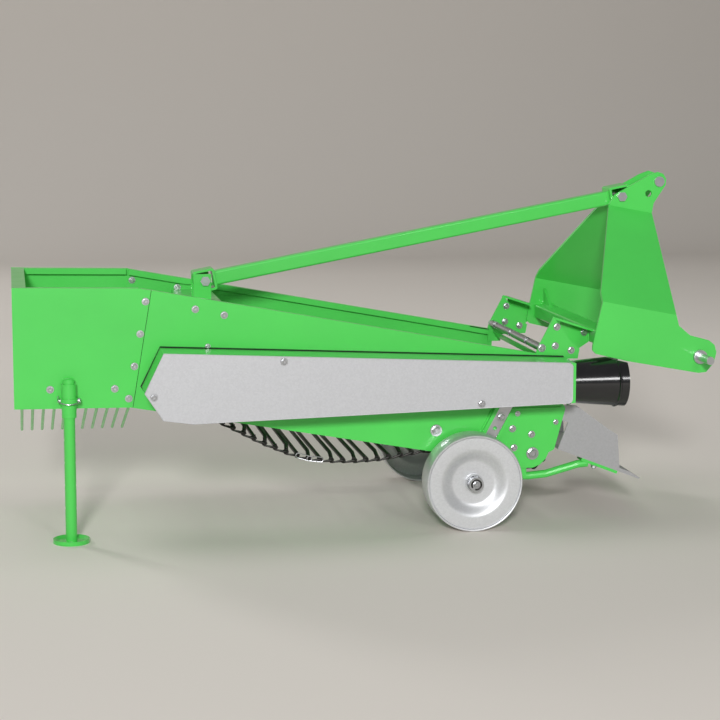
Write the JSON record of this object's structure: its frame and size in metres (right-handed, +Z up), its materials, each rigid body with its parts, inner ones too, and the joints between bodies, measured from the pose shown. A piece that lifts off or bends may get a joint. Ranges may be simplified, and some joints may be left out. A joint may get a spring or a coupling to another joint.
{
  "type": "potato digger",
  "caption": "Mounted single-row potato digger with a rod web, steel support wheels, side drive guard and a three-point headstock",
  "frame": {"origin": "on the ground below the middle of the whole machine's length and width", "axes": "+X forward in the direction of travel, +Y to the machine's left, +Z up"},
  "size_m": [1.89, 0.853, 0.945],
  "materials": {
    "green_paint": "glossy",
    "zinc_steel": "satin",
    "bare_steel": "satin",
    "guard_sheet": "matte",
    "cast_housing": "matte",
    "black_shield": "glossy",
    "dark_steel": "satin",
    "wheel_zinc": "satin",
    "share_steel": "matte"
  },
  "bodies": {
    "frame": {"right_side_sheet": "green_paint", "left_side_sheet": "green_paint", "right_rear_panel": "green_paint", "left_rear_panel": "green_paint", "rear_sheet": "green_paint", "finger_grate": "green_paint", "leg_sleeve": "green_paint", "mid_cross_beam": "green_paint", "strut_lugs": "green_paint", "strut": "green_paint", "strut_bolts": "zinc_steel", "right_head_plate": "green_paint", "left_head_plate": "green_paint", "head_beam": "green_paint", "right_head_bracket": "green_paint", "left_head_bracket": "green_paint", "right_ear": "green_paint", "left_ear": "green_paint", "top_link_pin": "zinc_steel", "right_lower_pin": "zinc_steel", "left_lower_pin": "zinc_steel", "front_tie_rod": "zinc_steel", "front_cross_strip": "green_paint", "guard_box": "green_paint", "guard_cover": "guard_sheet", "gearbox": "cast_housing", "pto_shaft": "bare_steel", "pto_shield": "black_shield", "drive_shaft": "bare_steel", "web_conveyor": "dark_steel", "front_roller": "bare_steel", "support_rollers": "bare_steel", "right_bearing_plate": "green_paint", "left_bearing_plate": "green_paint", "right_wheel_arm": "zinc_steel", "left_wheel_arm": "zinc_steel", "right_axle": "zinc_steel", "left_axle": "zinc_steel", "share_blade": "share_steel", "right_share_cheek": "share_steel", "left_share_cheek": "share_steel", "right_share_bar": "green_paint", "left_share_bar": "green_paint"},
    "support_leg": {"support_leg": "green_paint"},
    "right_wheel": {"right_wheel": "wheel_zinc"},
    "left_wheel": {"left_wheel": "wheel_zinc"}
  },
  "joints": [
    {"name": "right_wheel_spin", "type": "hinge", "parent": "frame", "child": "right_wheel", "pos_m": [0.265, -0.335, 0.1317], "axis": [0, 1, 0], "continuous": true},
    {"name": "left_wheel_spin", "type": "hinge", "parent": "frame", "child": "left_wheel", "pos_m": [0.265, 0.335, 0.1317], "axis": [0, 1, 0], "continuous": true},
    {"name": "leg_slide", "type": "slide", "parent": "frame", "child": "support_leg", "axis": [0, 0, 1], "range_m": [0, 0.25]}
  ]
}
